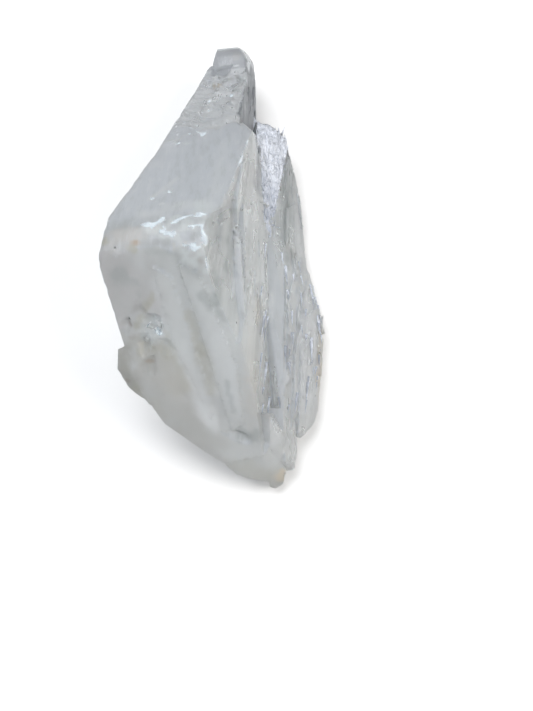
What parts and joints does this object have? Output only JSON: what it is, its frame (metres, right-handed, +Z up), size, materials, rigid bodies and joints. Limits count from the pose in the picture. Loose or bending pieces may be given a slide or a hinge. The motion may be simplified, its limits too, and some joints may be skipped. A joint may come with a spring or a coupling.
{
  "type": "selenite crystal blade",
  "caption": "Raw blade of clear to milky selenite: a thick sloping blade with a thin end, fibrous cleavage plates along one side, lying on its flat back.",
  "frame": {"origin": "centre of the bounding box's base, on the surface the crystal lies on", "axes": "+Z up from the surface, +Y along the blade towards its thin end, +X towards the side with the cleavage plates"},
  "size_m": [0.0512, 0.1366, 0.0396],
  "materials": {
    "selenite": "pearly to satin, clear to milky, cloudy inside"
  },
  "bodies": {
    "root": {"selenite_blade": "selenite"}
  },
  "joints": []
}
